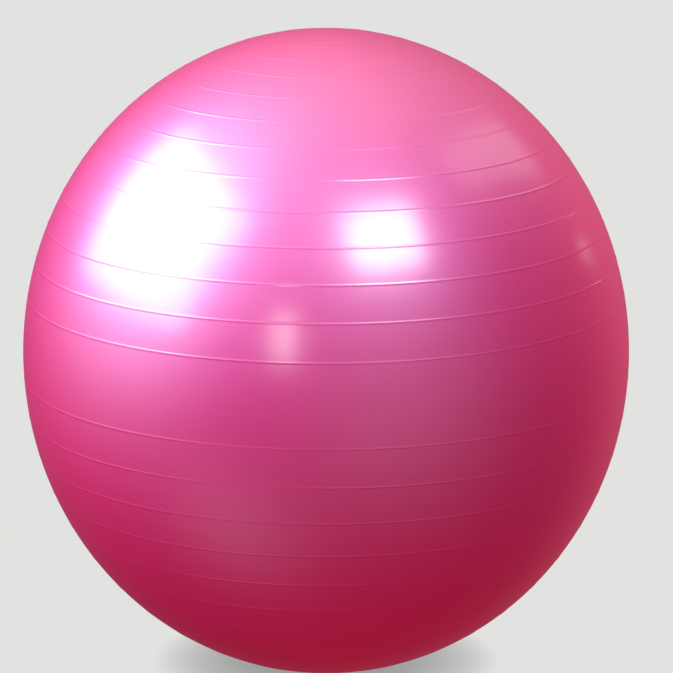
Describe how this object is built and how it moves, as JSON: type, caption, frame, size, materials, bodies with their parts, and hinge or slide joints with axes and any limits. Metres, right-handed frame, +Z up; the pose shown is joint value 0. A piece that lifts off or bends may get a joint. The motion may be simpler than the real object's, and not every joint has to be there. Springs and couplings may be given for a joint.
{
  "type": "exercise ball",
  "caption": "Inflated round exercise ball of glossy pink PVC, with shallow raised ribs around it, a smooth band, and a valve closed by a white push-in plug that pulls straight out.",
  "frame": {"origin": "the lowest point of the ball, on its rib axis, where it stands on the floor", "axes": "+Z up along the axis that the ribs run round, through both poles; +Y towards the side that holds the valve; +X completes the right-handed frame"},
  "size_m": [0.6079, 0.6079, 0.65],
  "materials": {
    "skin_pvc": "gloss",
    "seat_pvc": "satin",
    "plug_plastic": "satin"
  },
  "bodies": {
    "ball": {"ball_skin": "skin_pvc", "valve_seat": "seat_pvc"},
    "plug": {"plug": "plug_plastic"}
  },
  "joints": [
    {"name": "plug_pull", "type": "slide", "parent": "ball", "child": "plug", "axis": [0, 0.9981, 0.0612], "range_m": [0, 0.04]}
  ]
}
